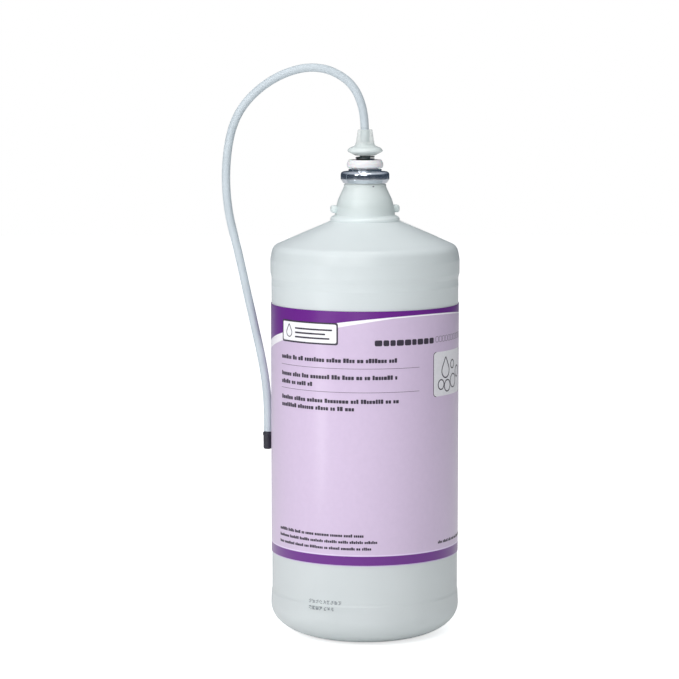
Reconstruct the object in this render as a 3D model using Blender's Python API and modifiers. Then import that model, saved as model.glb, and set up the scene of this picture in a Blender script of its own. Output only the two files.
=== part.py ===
"""Hand soap refill pack: a blown bottle with a crimped-on dosing pump.

The bottle stands on its base at the world origin, +Z up, metres. Sizes below are
written in millimetres and turned into metres by the builders, through MM.
"""
import bpy
from math import acos, cos, pi, sin, tan
from mathutils import Matrix, Vector

MM = 0.001
GAP = 0.3               # clearance between pieces that touch on the real pack
BOTTLE_SIDES, SMALL_SIDES = 36, 24     # facets round the bottle and round the small turned pieces

# ---- bottle -------------------------------------------------------------------
RING_R = 51.3           # shoulder and heel rings, the widest part
PANEL_R = 50.7          # recessed label panel
WALL = 1.1              # blown wall
PANEL_LOW, PANEL_HIGH = 22.3, 198.0
STEP_RUN = 1.2          # height over which a ring falls to the panel
HEEL_WIDE, HEEL_HIGH = 26.3, 16.4      # the heel is a quarter of an ellipse
STAND_IN, PUSH_UP = 20.5, 4.5          # inner edge of the standing ring, height of the dished base
DISH = [(4.0, 1.6), (10.0, 3.6)]       # how far in from the standing ring, and how high, the dish passes
SHOULDER_R, SHOULDER_Z, SHOULDER_ROUND = 50.0, 212.3, 6.7
RING_ROUND, RING_DROP = 4.0, 6.0       # the rounded top edge of the shoulder ring
CONE_R, CONE_Z = 18.6, 225.3           # where the shoulder cone meets the neck
BEAD_R, BEAD_TOP = 18.7, 228.1
NECK_R, NECK_TOP = 15.8, 234.3
THROAT_R, THROAT_Z = 11.5, 244.3
GROOVE_R, GROOVE_LOW, GROOVE_HIGH = 10.9, 245.9, 246.3   # groove that the ferrule's edge is rolled into
FINISH_R, FINISH_LOW, FINISH_TOP = 12.35, 248.3, 249.2   # the lip that the ferrule is crimped under
MOUTH_R = 8.6
LUG_OUT, LUG_WIDE, LUG_HIGH, LUG_Z = 18.9, 5.0, 4.2, 232.3
LUG_TURN = 10.0         # degrees that the two lugs are turned from the X axis
LUG_ROUND = 1.0

# ---- label and contents ---------------------------------------------------------
LABEL_LOW, LABEL_HIGH, LABEL_THICK = 45.6, 181.4, 0.2
LABEL_IN = PANEL_R + 0.15
SEAM_WIDE = 0.8         # the label's two ends stop short of each other at the back
SOAP_LEVEL = 212.4      # about 1.6 litres
WELL_R, WELL_LOW = 4.6, 9.0            # the space that the dip tube takes out of the soap

# ---- pump, from the neck up -----------------------------------------------------
BORE_R, BARREL_R = 7.3, 8.2            # pump cylinder, inside and outside
FLANGE_LOW, FLANGE_HIGH, FLANGE_R = 250.7, 251.6, 11.7   # the cylinder's own flange, clamped on the gasket
CHAMBER_FLOOR = 234.3
NIPPLE_R, NIPPLE_BORE, NIPPLE_LOW, NIPPLE_HIGH = 2.6, 1.6, 220.0, 227.6
GASKET_IN, GASKET_OUT, GASKET_LOW, GASKET_HIGH = 8.9, 12.2, 249.5, 250.4
DIP_IN, DIP_OUT, DIP_LOW, DIP_HIGH = 2.9, 3.6, 10.5, 227.2
BALL_R, BALL_Z, BALL_LIFT = 2.2, 230.92, 1.2
FERRULE_R, FERRULE_SHEET = 13.15, 0.35
FERRULE_TOP, CROWN_R, CROWN_LOW = 253.8, 8.95, 252.5     # the raised crown under the white ring
FERRULE_HOLE = 7.0
CRIMP_R, CRIMP_Z = 11.75, 246.2        # the ferrule's rolled-in lower edge
COLLAR_R, COLLAR_LOW, COLLAR_HIGH = 9.8, 254.1, 259.4
COLLAR_MOUTH, COLLAR_FLOOR = 8.3, 255.6                  # the dished top of the white ring
CUP_IN, CUP_OUT, CUP_FLOOR, CUP_SHEET = 5.7, 6.5, 249.0, 0.8   # the spring's well below it
STEM_R, STEM_BORE, STEM_LOW, STEM_HIGH = 2.9, 1.5, 241.3, 265.9
PISTON_R, PISTON_LOW, PISTON_HIGH = 6.6, 240.6, 246.2
RING_WIRE, RING_LINE, RING_Z = 0.65, 6.35, 243.7         # the piston's ring: thickness, centre line and height
RIM_R, RIM_LOW, RIM_HIGH = 9.6, 263.3, 264.5             # saucer flange of the actuator
SAUCER_R, SAUCER_LOW = 5.4, 261.1      # where the flange's underside meets the stem
SOCKET_R, SOCKET_FLOOR, SOCKET_TOP = 3.9, 268.3, 275.1
DUCT_R, DUCT_LOW = 1.3, 266.2          # the passage from the stem to the tube
SPRING_LOW, SPRING_HIGH, SPRING_MEAN_R, SPRING_WIRE, SPRING_TURNS = 249.3, 260.8, 4.75, 0.9, 9

# ---- delivery tube --------------------------------------------------------------
TUBE_R = 2.25
TUBE_STEP = 10.5        # a point every 2 to 3 diameters
TIP_R, TIP_LOW, TIP_HIGH = 2.65, 99.4, 109.0
# Centre line chosen by hand: out of the socket, over an arc, down beside the bottle.
ROUTE = [
    (0.0, 0.0, 268.6), (-0.2, 0.0, 275.6), (-0.6, 0.0, 281.7), (-1.9, 0.0, 288.4), (-4.6, 0.0, 295.2),
    (-8.8, 0.0, 300.8), (-14.4, 0.0, 304.9), (-21.5, 0.0, 307.8), (-29.9, 0.0, 308.6), (-38.2, 0.0, 307.2),
    (-46.5, 0.0, 304.0), (-54.8, 0.1, 298.9), (-62.2, 0.2, 292.3), (-67.7, 0.4, 285.0), (-71.4, 0.6, 277.0),
    (-73.7, 0.9, 268.0), (-75.0, 1.3, 258.0), (-75.4, 1.8, 248.0), (-74.9, 2.4, 237.7), (-73.6, 3.1, 228.0),
    (-71.5, 3.8, 218.5), (-69.1, 4.5, 208.5), (-66.8, 5.3, 198.0), (-64.5, 6.2, 187.0), (-62.1, 7.1, 176.0),
    (-59.9, 8.0, 165.6), (-57.6, 8.8, 155.0), (-55.8, 9.5, 145.5), (-54.4, 10.1, 136.0), (-53.6, 10.5, 127.0),
    (-53.3, 10.6, 118.5), (-53.3, 10.6, 109.3),
]


def colour_material(name, colour, roughness, metallic=0.0):
    material = bpy.data.materials.new(name)
    material.use_nodes = True
    shader = material.node_tree.nodes["Principled BSDF"]
    shader.inputs["Base Color"].default_value = (*colour, 1.0)
    shader.inputs["Roughness"].default_value = roughness
    shader.inputs["Metallic"].default_value = metallic
    return material


def clear_scene():
    for thing in list(bpy.data.objects):
        bpy.data.objects.remove(thing, do_unlink=True)


def new_collection(name):
    collection = bpy.data.collections.new(name)
    bpy.context.scene.collection.children.link(collection)
    return collection


def add_object(name, mesh, collection, material=None):
    thing = bpy.data.objects.new(name, mesh)
    collection.objects.link(thing)
    if material:
        mesh.materials.append(material)
    return thing


def rounded(corners, bend=2):
    """Profile points from (r, z, corner radius) entries: each round corner becomes an arc."""
    points = []
    for index, (r, z, radius) in enumerate(corners):
        here = Vector((r, z))
        if radius <= 0:
            points.append((r, z))
            continue
        back = Vector(corners[index - 1][:2]) - here
        ahead = Vector(corners[(index + 1) % len(corners)][:2]) - here
        reach = min(back.length, ahead.length) * 0.49
        back.normalize()
        ahead.normalize()
        half = acos(max(-1.0, min(1.0, back.dot(ahead)))) / 2
        tangent = min(radius / tan(half), reach)
        radius = tangent * tan(half)
        middle = (back + ahead).normalized()
        centre = here + middle * (radius / sin(half))
        first, last = here + back * tangent - centre, here + ahead * tangent - centre
        turn = first.angle_signed(last)
        for step in range(bend + 1):
            spoke = first.copy()
            spoke.rotate(Matrix.Rotation(-turn * step / bend, 2))
            points.append(tuple(centre + spoke))
    return points


def turned(name, profile, collection, material, steps=SMALL_SIDES, closed=False):
    """A turned piece: the profile in X and Z, swept round Z by a Screw modifier."""
    mesh = bpy.data.meshes.new(name)
    vertices = [(r * MM, 0.0, z * MM) for r, z in profile]
    edges = [(i, i + 1) for i in range(len(profile) - 1)]
    if closed:
        edges.append((len(profile) - 1, 0))
    mesh.from_pydata(vertices, edges, [])
    piece = add_object(name, mesh, collection, material)
    screw = piece.modifiers.new("Turn", "SCREW")
    screw.axis = "Z"
    screw.steps = steps
    screw.render_steps = steps
    screw.use_merge_vertices = True
    screw.merge_threshold = 0.00001
    screw.use_smooth_shade = True
    return piece


def box_cutter(name, size, place, turn, collection):
    """A plain block used to cut or add to another piece; it isn't part of the pack."""
    bpy.ops.mesh.primitive_cube_add(size=1.0)
    cutter = bpy.context.object
    cutter.name = name
    cutter.data.transform(Matrix.Diagonal((size[0] * MM, size[1] * MM, size[2] * MM, 1.0)))
    cutter.data.transform(Matrix.Rotation(turn, 4, "Z") @ Matrix.Translation(Vector(place) * MM))
    for owner in list(cutter.users_collection):
        owner.objects.unlink(cutter)
    collection.objects.link(cutter)
    cutter.hide_render = True
    cutter.display_type = "WIRE"
    return cutter


def combine(piece, other, operation):
    boolean = piece.modifiers.new(other.name, "BOOLEAN")
    boolean.operation = operation
    boolean.object = other
    boolean.solver = "EXACT"


def heel(radius, wide, high, floor, count=6):
    """The rounded heel, a quarter ellipse from the wall down to the standing ring."""
    return [(radius - wide + wide * cos(a), floor + high - high * sin(a))
            for a in (pi / 2 * i / count for i in range(count + 1))]


def outer_side():
    """The bottle's outside, from the lip down to the centre of the dished base."""
    upper = rounded([
        (MOUTH_R, FINISH_TOP, 0), (FINISH_R, FINISH_TOP, 0.3), (FINISH_R, FINISH_LOW, 0),
        (FINISH_R - 0.65, FINISH_LOW - 0.8, 0), (GROOVE_R, GROOVE_HIGH, 0), (GROOVE_R, GROOVE_LOW, 0),
        (THROAT_R, GROOVE_LOW - 0.6, 0), (THROAT_R, THROAT_Z, 0),
        (NECK_R, NECK_TOP, 3.0), (NECK_R, BEAD_TOP + 0.4, 0), (BEAD_R - 0.5, BEAD_TOP, 0.8),
        (BEAD_R, BEAD_TOP - 1.5, 0.8), (CONE_R, CONE_Z + 0.5, 0), (SHOULDER_R, SHOULDER_Z, SHOULDER_ROUND),
        (RING_R, SHOULDER_Z - RING_DROP, RING_ROUND), (RING_R, PANEL_HIGH, 0.4), (PANEL_R, PANEL_HIGH - STEP_RUN, 0),
        (PANEL_R, PANEL_LOW + STEP_RUN, 0), (RING_R, PANEL_LOW, 0.4),
    ])
    base = [(STAND_IN, 0.0)] + [(STAND_IN - run, rise) for run, rise in DISH] + [(0.0, PUSH_UP)]
    return upper + heel(RING_R, HEEL_WIDE, HEEL_HIGH, 0.0) + base


def inner_side(inset):
    """The bottle's inside, base centre up to the shoulder, moved inwards by inset from the outside."""
    ring, panel = RING_R - inset, PANEL_R - inset
    rise = list(reversed(heel(ring, HEEL_WIDE - inset, HEEL_HIGH - inset, inset)))
    base = ([(0.0, PUSH_UP + inset)] + [(STAND_IN - run, height + inset) for run, height in reversed(DISH)]
            + [(STAND_IN, inset)])
    upper = rounded([
        (ring, PANEL_LOW, 0), (panel, PANEL_LOW + STEP_RUN, 0), (panel, PANEL_HIGH - STEP_RUN, 0),
        (ring, PANEL_HIGH, 0), (ring, SHOULDER_Z - RING_DROP, RING_ROUND - 1.0),
        (SHOULDER_R - inset * 0.8, SHOULDER_Z - inset * 0.6, SHOULDER_ROUND - inset),
        (CONE_R - inset, CONE_Z - inset * 0.6, 0)])
    return base + rise + upper


def make_bottle(parts, cutters, material):
    inside = inner_side(WALL) + [
        (NECK_R - WALL, BEAD_TOP - 1.0), (NECK_R - WALL, NECK_TOP - 0.6), (THROAT_R - 1.6, THROAT_Z - 1.0),
        (MOUTH_R, THROAT_Z + 1.5)]
    bottle = turned("bottle", inside + outer_side(), parts, material, steps=BOTTLE_SIDES)
    for side in (0, 1):
        inner = NECK_R - 0.7
        lug = box_cutter(f"lug_{side + 1}", (LUG_OUT - inner, LUG_WIDE, LUG_HIGH),
                         ((LUG_OUT + inner) / 2, 0.0, LUG_Z), (pi if side else 0.0) + LUG_TURN * pi / 180, cutters)
        round_off = lug.modifiers.new("Edges", "BEVEL")
        round_off.width = LUG_ROUND * MM
        round_off.segments = 1
        combine(bottle, lug, "UNION")
    return bottle


def make_label(parts, cutters, material):
    low, high, thick = LABEL_LOW, LABEL_HIGH, LABEL_THICK
    profile = [(LABEL_IN + thick, high), (LABEL_IN + thick, low), (LABEL_IN, low), (LABEL_IN, high)]
    label = turned("label", profile, parts, material, steps=BOTTLE_SIDES, closed=True)
    seam = box_cutter("label_seam", (SEAM_WIDE, 4.0, high - low + 10.0), (0.0, LABEL_IN, (low + high) / 2), 0.0, cutters)
    combine(label, seam, "DIFFERENCE")


def make_soap(parts, material):
    side = [point for point in inner_side(WALL + GAP) if point[1] < SOAP_LEVEL]
    rim_r = SHOULDER_R - WALL - 2.2
    profile = [(0.0, WELL_LOW), (WELL_R, WELL_LOW), (WELL_R, SOAP_LEVEL), (rim_r, SOAP_LEVEL)]
    turned("soap", profile + list(reversed(side)), parts, material, steps=BOTTLE_SIDES)


def make_ferrule(parts, material):
    r, t = FERRULE_R, FERRULE_SHEET
    outside = rounded([
        (FERRULE_HOLE, FERRULE_TOP, 0), (CROWN_R, FERRULE_TOP, 0.5), (CROWN_R, CROWN_LOW, 0.3),
        (r, CROWN_LOW - 0.1, 1.9), (r, FINISH_LOW - 0.1, 0.6), (CRIMP_R + 0.55, CRIMP_Z + 0.9, 0),
        (CRIMP_R, CRIMP_Z, 0)])
    inside = [(CRIMP_R - t, CRIMP_Z + 0.1), (CRIMP_R + 0.1, CRIMP_Z + 0.9), (r - t, FINISH_LOW + 0.1),
              (r - t, CROWN_LOW - 1.3), (r - t - 0.9, CROWN_LOW - 0.45), (CROWN_R - t, CROWN_LOW - 0.45),
              (CROWN_R - t, FERRULE_TOP - t), (FERRULE_HOLE, FERRULE_TOP - t)]
    turned("ferrule", outside + inside, parts, material, steps=28, closed=True)


def make_gasket(parts, material):
    profile = [(GASKET_OUT, GASKET_HIGH), (GASKET_OUT, GASKET_LOW), (GASKET_IN, GASKET_LOW), (GASKET_IN, GASKET_HIGH)]
    turned("neck_gasket", profile, parts, material, closed=True)


def make_housing(parts, material):
    floor, seat = CHAMBER_FLOOR, BALL_Z - 1.92
    outside = [(BORE_R, FLANGE_HIGH), (FLANGE_R, FLANGE_HIGH), (FLANGE_R, FLANGE_LOW), (BARREL_R, FLANGE_LOW),
               (BARREL_R, floor - 1.8), (NIPPLE_R + 1.6, NIPPLE_HIGH + 0.6), (NIPPLE_R, NIPPLE_HIGH),
               (NIPPLE_R, NIPPLE_LOW)]
    inside = [(NIPPLE_BORE, NIPPLE_LOW), (NIPPLE_BORE, seat), (BALL_R + 0.4, seat + 1.2), (BALL_R + 0.4, floor), (BORE_R, floor)]
    turned("pump_housing", outside + inside, parts, material, closed=True)


def make_valve(parts, cutters, cage_material, ball_material):
    bpy.ops.mesh.primitive_uv_sphere_add(segments=12, ring_count=8, radius=BALL_R * MM,
                                         location=(0, 0, BALL_Z * MM))
    ball = bpy.context.object
    ball.name = "inlet_ball"
    for owner in list(ball.users_collection):
        owner.objects.unlink(ball)
    parts.objects.link(ball)
    ball.data.materials.append(ball_material)
    for polygon in ball.data.polygons:
        polygon.use_smooth = True
    low = BALL_Z + BALL_R + BALL_LIFT + GAP
    profile = [(6.9, low + 1.2), (6.9, low), (1.5, low), (1.5, low + 1.2)]
    cage = turned("ball_cage", profile, parts, cage_material, closed=True)
    for index in range(3):
        slot = box_cutter(f"cage_slot_{index + 1}", (9.0, 1.2, 4.0), (0.0, 0.0, low + 0.6), pi / 3 * index, cutters)
        combine(cage, slot, "DIFFERENCE")


def make_collar(parts, material):
    r, low, high = COLLAR_R, COLLAR_LOW, COLLAR_HIGH
    profile = rounded([
        (COLLAR_MOUTH, high - 0.5, 0), (COLLAR_MOUTH + 0.4, high, 0), (r - 0.7, high, 0.4), (r, high - 1.1, 0.9),
        (r, low + 0.9, 0.7),
        (r - 0.6, low, 0), (CUP_OUT, low, 0),
        (CUP_OUT, CUP_FLOOR - CUP_SHEET, 0), (STEM_R + 0.5, CUP_FLOOR - CUP_SHEET, 0), (STEM_R + 0.5, CUP_FLOOR, 0),
        (CUP_IN, CUP_FLOOR, 0), (CUP_IN, COLLAR_FLOOR, 0), (COLLAR_MOUTH, COLLAR_FLOOR, 0)])
    turned("spring_cup", profile, parts, material, closed=True)


def make_stem_seal(parts, material):
    top = CUP_FLOOR - CUP_SHEET - GAP
    profile = [(7.0, top), (7.0, top - 1.2), (STEM_R + GAP, top - 1.2), (STEM_R + GAP, top)]
    turned("stem_seal", profile, parts, material, closed=True)


def make_dip_tube(parts, material):
    profile = [(DIP_OUT, DIP_HIGH), (DIP_OUT, DIP_LOW), (DIP_IN, DIP_LOW), (DIP_IN, DIP_HIGH)]
    turned("dip_tube", profile, parts, material, steps=16, closed=True)


def make_spring(parts, material):
    """External return spring, its origin at its fixed lower end on the stem's axis."""
    per_turn = 12
    count = SPRING_TURNS * per_turn
    half = SPRING_WIRE / 2
    rise = SPRING_HIGH - SPRING_LOW - SPRING_WIRE
    curve = bpy.data.curves.new("return_spring", "CURVE")
    curve.dimensions = "3D"
    curve.bevel_depth = half * MM
    curve.bevel_resolution = 1
    curve.use_fill_caps = True
    spline = curve.splines.new("POLY")
    spline.points.add(count)
    for index, point in enumerate(spline.points):
        angle = 2 * pi * index / per_turn
        height = half + rise * index / count
        point.co = (SPRING_MEAN_R * cos(angle) * MM, SPRING_MEAN_R * sin(angle) * MM, height * MM, 1.0)
    spring = add_object("return_spring", curve, parts)
    curve.materials.append(material)
    spring.location = (0.0, 0.0, SPRING_LOW * MM)


def make_stem(parts, material):
    profile = [(STEM_R, STEM_HIGH), (STEM_R, STEM_LOW), (STEM_BORE, STEM_LOW), (STEM_BORE, STEM_HIGH)]
    turned("stem", profile, parts, material, closed=True)


def make_piston(parts, piston_material, seal_material):
    low, high, groove_r = PISTON_LOW, PISTON_HIGH, PISTON_R - 1.2
    profile = [(PISTON_R, high), (PISTON_R, RING_Z + 1.0), (groove_r, RING_Z + 1.0), (groove_r, RING_Z - 1.0),
               (PISTON_R, RING_Z - 1.0), (PISTON_R, low), (STEM_BORE - 0.1, low), (STEM_BORE - 0.1, low + 0.4),
               (STEM_R + GAP, low + 0.4), (STEM_R + GAP, high)]
    turned("piston", profile, parts, piston_material, closed=True)
    ring = [(RING_LINE + RING_WIRE * sin(a), RING_Z + RING_WIRE * cos(a)) for a in (pi / 3 * i for i in range(6))]
    turned("piston_ring", ring, parts, seal_material, closed=True)


def make_actuator(parts, material):
    """One moulding: saucer flange below, tapered socket for the tube above."""
    profile = rounded([
        (TUBE_R + GAP, SOCKET_TOP, 0), (SOCKET_R, SOCKET_TOP, 0.4), (SOCKET_R + 1.6, RIM_HIGH + 2.5, 1.2),
        (SOCKET_R + 2.7, RIM_HIGH + 0.8, 1.0), (RIM_R, RIM_HIGH, 0.5), (RIM_R, RIM_LOW, 0.3),
        (SAUCER_R, SAUCER_LOW, 0), (STEM_R + GAP, SAUCER_LOW, 0), (STEM_R + GAP, DUCT_LOW, 0), (DUCT_R, DUCT_LOW, 0),
        (DUCT_R, SOCKET_FLOOR, 0), (TUBE_R + GAP, SOCKET_FLOOR, 0)])
    turned("actuator", profile, parts, material, closed=True)


def smooth_route(route, step):
    """Points at about the given step along a Catmull-Rom curve through the route."""
    dense = []
    ends = [Vector(route[0]) * 2 - Vector(route[1]), Vector(route[-1]) * 2 - Vector(route[-2])]
    line = [ends[0]] + [Vector(p) for p in route] + [ends[1]]
    for a, b, c, d in zip(line, line[1:], line[2:], line[3:]):
        for k in range(8):
            t = k / 8
            dense.append(0.5 * (2 * b + (c - a) * t + (2 * a - 5 * b + 4 * c - d) * t * t
                                + (3 * b - a - 3 * c + d) * t ** 3))
    dense.append(Vector(route[-1]))
    lengths = [0.0]
    for a, b in zip(dense, dense[1:]):
        lengths.append(lengths[-1] + (b - a).length)
    count = round(lengths[-1] / step)
    points = []
    for k in range(count + 1):
        wanted = lengths[-1] * k / count
        i = max(j for j in range(len(dense) - 1) if lengths[j] <= wanted + 1e-9)
        share = (wanted - lengths[i]) / (lengths[i + 1] - lengths[i])
        points.append(dense[i].lerp(dense[i + 1], min(1.0, share)))
    return points


def make_tube(parts, tube_material, tip_material):
    curve = bpy.data.curves.new("delivery_tube", "CURVE")
    curve.dimensions = "3D"
    curve.bevel_depth = TUBE_R * MM
    curve.bevel_resolution = 3
    curve.use_fill_caps = True
    points = smooth_route(ROUTE, TUBE_STEP)
    spline = curve.splines.new("POLY")
    spline.points.add(len(points) - 1)
    for target, point in zip(spline.points, points):
        target.co = (*(point * MM), 1.0)
    add_object("delivery_tube", curve, parts)
    curve.materials.append(tube_material)
    end = ROUTE[-1]
    profile = rounded([(0.0, TIP_HIGH, 0), (TIP_R, TIP_HIGH, 0.4), (TIP_R - 0.1, TIP_LOW, 2.0), (0.0, TIP_LOW, 0)])
    tip = turned("tube_tip", profile, parts, tip_material, steps=16)
    tip.location = (end[0] * MM, end[1] * MM, 0.0)


def build():
    clear_scene()
    parts = new_collection("hand_soap_refill_pack")
    cutters = new_collection("cutters")
    milky = colour_material("milky plastic", (0.80, 0.85, 0.84), 0.35)
    white = colour_material("white plastic", (0.88, 0.88, 0.89), 0.3)
    clear = colour_material("clear plastic", (0.80, 0.87, 0.87), 0.2)
    steel = colour_material("steel", (0.55, 0.57, 0.60), 0.2, 1.0)
    crimped = colour_material("bright crimped metal", (0.70, 0.73, 0.78), 0.15, 1.0)
    rubber = colour_material("dark rubber", (0.02, 0.02, 0.03), 0.5)
    make_bottle(parts, cutters, milky)
    make_label(parts, cutters, colour_material("lilac film", (0.68, 0.58, 0.78), 0.3))
    make_soap(parts, colour_material("soap", (0.80, 0.78, 0.82), 0.1))
    make_ferrule(parts, crimped)
    make_gasket(parts, colour_material("grey rubber", (0.3, 0.3, 0.32), 0.6))
    make_housing(parts, white)
    make_valve(parts, cutters, white, steel)
    make_collar(parts, white)
    make_stem_seal(parts, rubber)
    make_dip_tube(parts, clear)
    make_spring(parts, steel)
    make_stem(parts, white)
    make_piston(parts, white, rubber)
    make_actuator(parts, clear)
    make_tube(parts, colour_material("pale flexible tube", (0.65, 0.72, 0.80), 0.35), rubber)


build()
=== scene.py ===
# %% [markdown]
# # A hand soap refill pack, dressed
# The pack is a round blown bottle with a crimped-on dosing pump and a flexible
# delivery tube. The frame holds every piece at its real size; this lesson gives
# each one the surface, the roundness and the print that the real pack has.

# %% Load the frame
import random
from math import acos, atan2, ceil, cos, pi, radians, sin, tan

import bmesh
import bpy
from mathutils import Matrix, Vector


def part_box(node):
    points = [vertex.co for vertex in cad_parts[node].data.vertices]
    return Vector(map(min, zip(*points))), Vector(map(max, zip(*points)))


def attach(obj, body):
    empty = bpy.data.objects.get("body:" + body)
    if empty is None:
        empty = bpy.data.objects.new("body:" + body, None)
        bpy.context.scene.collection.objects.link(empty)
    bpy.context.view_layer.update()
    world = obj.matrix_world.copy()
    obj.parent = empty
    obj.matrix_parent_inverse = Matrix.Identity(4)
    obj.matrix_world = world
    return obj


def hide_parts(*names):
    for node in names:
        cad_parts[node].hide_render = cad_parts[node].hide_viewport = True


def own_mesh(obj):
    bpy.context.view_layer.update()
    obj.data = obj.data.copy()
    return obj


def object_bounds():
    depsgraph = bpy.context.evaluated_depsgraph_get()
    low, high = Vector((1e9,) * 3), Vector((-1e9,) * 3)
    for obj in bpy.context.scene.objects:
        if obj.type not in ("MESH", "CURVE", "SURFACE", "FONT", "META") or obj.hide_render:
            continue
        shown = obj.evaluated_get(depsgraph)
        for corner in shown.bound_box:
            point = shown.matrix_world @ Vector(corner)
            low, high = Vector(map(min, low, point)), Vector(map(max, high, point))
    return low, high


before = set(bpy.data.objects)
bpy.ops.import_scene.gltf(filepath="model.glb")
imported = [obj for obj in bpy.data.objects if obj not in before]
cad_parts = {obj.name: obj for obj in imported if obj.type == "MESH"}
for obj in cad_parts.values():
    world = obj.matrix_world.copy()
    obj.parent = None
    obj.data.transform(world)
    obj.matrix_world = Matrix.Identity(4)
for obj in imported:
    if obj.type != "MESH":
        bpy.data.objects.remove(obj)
cad_low, cad_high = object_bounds()
scene = bpy.context.scene
scene.view_settings.view_transform = "Standard"
MM = 0.001
print("pack box", [round(v / MM, 1) for v in (*cad_low, *cad_high)], "mm")


# %% Read the main sizes from the frame
def top_of(node):
    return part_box(node)[1].z


def foot_of(node):
    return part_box(node)[0].z


def radius_of(node):
    low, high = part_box(node)
    return (high.x - low.x) / 2


BOTTLE_R = radius_of("bottle")
BOTTLE_TOP = top_of("bottle")
LABEL_R = radius_of("label")
LABEL_LOW, LABEL_HIGH = foot_of("label"), top_of("label")
print("bottle", round(2 * BOTTLE_R / MM, 1), "mm across,", round(BOTTLE_TOP / MM, 1), "mm to the lip")

# %% [markdown]
# ## Camera
# The pack was seen from far off and a little above its top, so upright edges stay
# almost parallel while the bottom curves are rounder than the top ones. A long
# lens far away gives both. Moving the camera sideways, instead of turning it,
# keeps the bottle's axis upright in the frame.

# %% Camera
CAMERA_AWAY = 1.449
CAMERA_HIGH = 0.3221
CAMERA_ASIDE = -0.0138
CAMERA_PITCH = radians(6.34)
LENS = 142.1

camera_data = bpy.data.cameras.new("camera")
camera_data.lens = LENS
camera_data.sensor_width = 36.0
camera_data.clip_start, camera_data.clip_end = 0.05, 20.0
camera = bpy.data.objects.new("camera", camera_data)
camera.location = (CAMERA_ASIDE, -CAMERA_AWAY, CAMERA_HIGH)
camera.rotation_euler = (pi / 2 - CAMERA_PITCH, 0.0, 0.0)
scene.collection.objects.link(camera)
scene.camera = camera
print("camera", round(CAMERA_AWAY, 3), "m away, pitched", round(CAMERA_PITCH * 180 / pi, 2), "degrees")

# %% [markdown]
# ## Floor and light
# A studio set: a pale floor that runs into a pale surround, one large soft
# light on the left that leaves a long upright highlight on the bottle, a broad
# fill from the front, one from above for the shoulder and the metal cap, and a
# small strip close by on the left, which adds to the highlight down the label.


# %% Material helpers
def new_material(name):
    material = bpy.data.materials.new(name)
    material.use_nodes = True
    nodes = material.node_tree.nodes
    return material, nodes, material.node_tree.links, nodes["Principled BSDF"]


def set_inputs(node, **values):
    for key, value in values.items():
        node.inputs[key.replace("_", " ")].default_value = value


def object_axes(nodes, links):
    """Object coordinates as separate X, Y and Z outputs."""
    place = nodes.new("ShaderNodeTexCoord")
    split = nodes.new("ShaderNodeSeparateXYZ")
    links.new(place.outputs["Object"], split.inputs["Vector"])
    return split.outputs


def noise(nodes, links, scale, detail=3.0, stretch=(1.0, 1.0, 1.0)):
    """Noise over Object coordinates."""
    place = nodes.new("ShaderNodeTexCoord")
    mapping = nodes.new("ShaderNodeMapping")
    set_inputs(mapping, Scale=stretch)
    links.new(place.outputs["Object"], mapping.inputs["Vector"])
    texture = nodes.new("ShaderNodeTexNoise")
    set_inputs(texture, Scale=scale, Detail=detail)
    links.new(mapping.outputs["Vector"], texture.inputs["Vector"])
    return texture.outputs["Fac"]


def ramp(nodes, links, value, stops):
    """A colour ramp from (place, colour) stops."""
    node = nodes.new("ShaderNodeValToRGB")
    stops = [(place, (*colour, 1.0)) for place, colour in stops]
    while len(node.color_ramp.elements) < len(stops):
        node.color_ramp.elements.new(0.5)
    for element, (place, colour) in zip(node.color_ramp.elements, stops):
        element.position = place
        element.color = colour
    links.new(value, node.inputs["Fac"])
    return node.outputs["Color"]


def spread(nodes, links, value, low, high):
    """Maps 0..1 to low..high."""
    node = nodes.new("ShaderNodeMapRange")
    set_inputs(node, To_Min=low, To_Max=high)
    links.new(value, node.inputs["Value"])
    return node.outputs["Result"]


def shade(colour, keep):
    return tuple(c * keep for c in colour)


def surface(nodes, links, shader, value, stops, roughness):
    """Colour and roughness that vary together with one value."""
    links.new(ramp(nodes, links, value, stops), shader.inputs["Base Color"])
    links.new(spread(nodes, links, value, *roughness), shader.inputs["Roughness"])


def eased(nodes, links, value, given, wanted):
    """Eases from one value to another between two heights."""
    node = nodes.new("ShaderNodeMapRange")
    node.interpolation_type = "SMOOTHSTEP"
    set_inputs(node, From_Min=given[0], From_Max=given[1], To_Min=wanted[0], To_Max=wanted[1])
    links.new(value, node.inputs["Value"])
    return node.outputs["Result"]


def multiply(nodes, links, first, second):
    """One colour times another."""
    node = nodes.new("ShaderNodeMix")
    node.data_type = "RGBA"
    node.blend_type = "MULTIPLY"
    node.inputs["Factor"].default_value = 1.0
    links.new(first, node.inputs["A"])
    links.new(second, node.inputs["B"])
    return node.outputs["Result"]


def bump(nodes, links, shader, height, distance, strength=0.5, after=None):
    node = nodes.new("ShaderNodeBump")
    set_inputs(node, Strength=strength, Distance=distance)
    links.new(height, node.inputs["Height"])
    if after is not None:
        links.new(after, node.inputs["Normal"])
    links.new(node.outputs["Normal"], shader.inputs["Normal"])
    return node.outputs["Normal"]


# %% Floor
WHITE = (1.0, 1.0, 1.0, 1.0)


def floor_material():
    material, nodes, links, shader = new_material("pale floor")
    grain = noise(nodes, links, 6.0)
    stops = [(0.0, (0.93, 0.93, 0.935)), (1.0, (0.95, 0.95, 0.955))]
    links.new(ramp(nodes, links, grain, stops), shader.inputs["Base Color"])
    set_inputs(shader, Roughness=0.9, Emission_Color=WHITE)
    path = nodes.new("ShaderNodeLightPath")
    glow = nodes.new("ShaderNodeMath")
    glow.operation = "MULTIPLY"
    glow.inputs[1].default_value = FLOOR_GLOW
    links.new(path.outputs["Is Camera Ray"], glow.inputs[0])
    links.new(glow.outputs["Value"], shader.inputs["Emission Strength"])
    return material


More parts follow.
